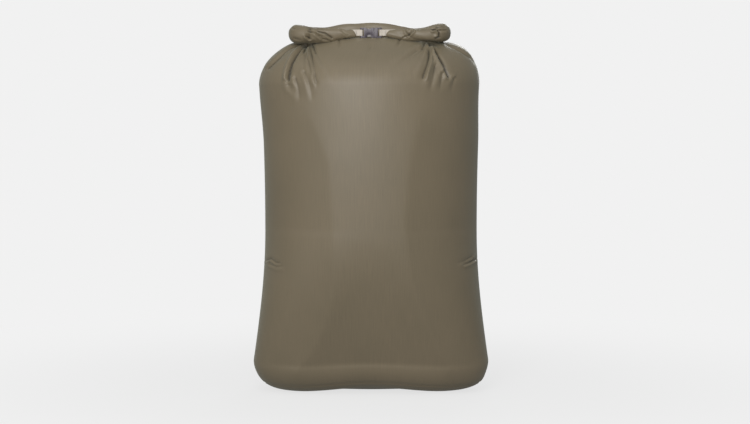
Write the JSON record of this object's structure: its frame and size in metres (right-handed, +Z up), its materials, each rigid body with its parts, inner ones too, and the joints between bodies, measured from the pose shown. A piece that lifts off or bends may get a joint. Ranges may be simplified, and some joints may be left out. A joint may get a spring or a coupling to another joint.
{
  "type": "fold-top dry bag",
  "caption": "Tall soft bag with a rounded rectangular base, whose rolled mouth bends forwards into a ring closed by a small side-release buckle.",
  "frame": {"origin": "on the floor, under the middle of the bag", "axes": "+Z up, +X along the rolled mouth to the right, and the buckle faces -Y"},
  "size_m": [0.383, 0.268, 0.597],
  "materials": {
    "coated_nylon": "olive-brown silicone-coated nylon, fine weave with a satin sheen",
    "seam_tape": "translucent heat-bonded tape",
    "stiffener": "flexible strip inside the hem",
    "webbing": "pale woven tape",
    "thread": "polyester thread",
    "buckle_plastic": "dark grey moulded acetal, slightly glossy"
  },
  "bodies": {
    "bag": {"front_panel": "coated_nylon", "back_panel": "coated_nylon", "base_panel": "coated_nylon", "side_seam_tape_left": "seam_tape", "side_seam_tape_right": "seam_tape", "base_seam_tape": "seam_tape", "collar": "coated_nylon"},
    "handle": {"roll_back": "coated_nylon", "hem_stiffener_back": "stiffener"},
    "left_bend": {"roll_left_bend": "coated_nylon", "hem_stiffener_left_bend": "stiffener"},
    "left_end": {"roll_left_end": "coated_nylon", "hem_stiffener_left_end": "stiffener", "webbing_tab_left": "webbing", "bar_tacks_left": "thread"},
    "socket": {"buckle_socket": "buckle_plastic"},
    "right_bend": {"roll_right_bend": "coated_nylon", "hem_stiffener_right_bend": "stiffener"},
    "right_end": {"roll_right_end": "coated_nylon", "hem_stiffener_right_end": "stiffener", "webbing_tab_right": "webbing", "bar_tacks_right": "thread"},
    "plug": {"buckle_plug": "buckle_plastic"},
    "prong_upper": {"buckle_prong_upper": "buckle_plastic"},
    "prong_lower": {"buckle_prong_lower": "buckle_plastic"}
  },
  "joints": [
    {"name": "handle_lift", "type": "hinge", "parent": "bag", "child": "handle", "pos_m": [0, 0, 0.577], "axis": [-1, 0, 0], "range_deg": [0, 80]},
    {"name": "left_bend_swing", "type": "hinge", "parent": "handle", "child": "left_bend", "pos_m": [-0.122, 0, 0.582], "axis": [0, 0, -1], "range_deg": [0, 80], "deforming": ["buckle_prong_upper", "buckle_prong_lower"]},
    {"name": "left_end_swing", "type": "hinge", "parent": "left_bend", "child": "left_end", "pos_m": [-0.122, -0.038, 0.579], "axis": [0, 0, -1], "range_deg": [0, 80]},
    {"name": "socket_pivot", "type": "hinge", "parent": "left_end", "child": "socket", "pos_m": [-0.0153, -0.038, 0.58], "axis": [0, 0, 1], "range_deg": [0, 120]},
    {"name": "right_bend_swing", "type": "hinge", "parent": "handle", "child": "right_bend", "pos_m": [0.122, 0, 0.582], "axis": [0, 0, 1], "range_deg": [0, 80]},
    {"name": "right_end_swing", "type": "hinge", "parent": "right_bend", "child": "right_end", "pos_m": [0.122, -0.038, 0.579], "axis": [0, 0, 1], "range_deg": [0, 80]},
    {"name": "plug_pivot", "type": "hinge", "parent": "right_end", "child": "plug", "pos_m": [0.0153, -0.038, 0.58], "axis": [0, 0, -1], "range_deg": [0, 120]},
    {"name": "prong_upper_squeeze", "type": "hinge", "parent": "plug", "child": "prong_upper", "pos_m": [0.0074, -0.038, 0.5842], "axis": [0, -1, 0], "range_deg": [0, 8], "stiffness_Nm_per_rad": 0.3},
    {"name": "prong_lower_squeeze", "type": "hinge", "parent": "plug", "child": "prong_lower", "pos_m": [0.0074, -0.038, 0.5758], "axis": [0, 1, 0], "range_deg": [0, 8], "stiffness_Nm_per_rad": 0.3}
  ],
  "couplings": [
    {"joint": "left_end_swing", "follows": "left_bend_swing", "ratio": 1},
    {"joint": "socket_pivot", "follows": "left_bend_swing", "ratio": 1.5},
    {"joint": "right_bend_swing", "follows": "left_bend_swing", "ratio": 1},
    {"joint": "right_end_swing", "follows": "left_bend_swing", "ratio": 1},
    {"joint": "plug_pivot", "follows": "left_bend_swing", "ratio": 1.5},
    {"joint": "prong_lower_squeeze", "follows": "prong_upper_squeeze", "ratio": 1}
  ]
}
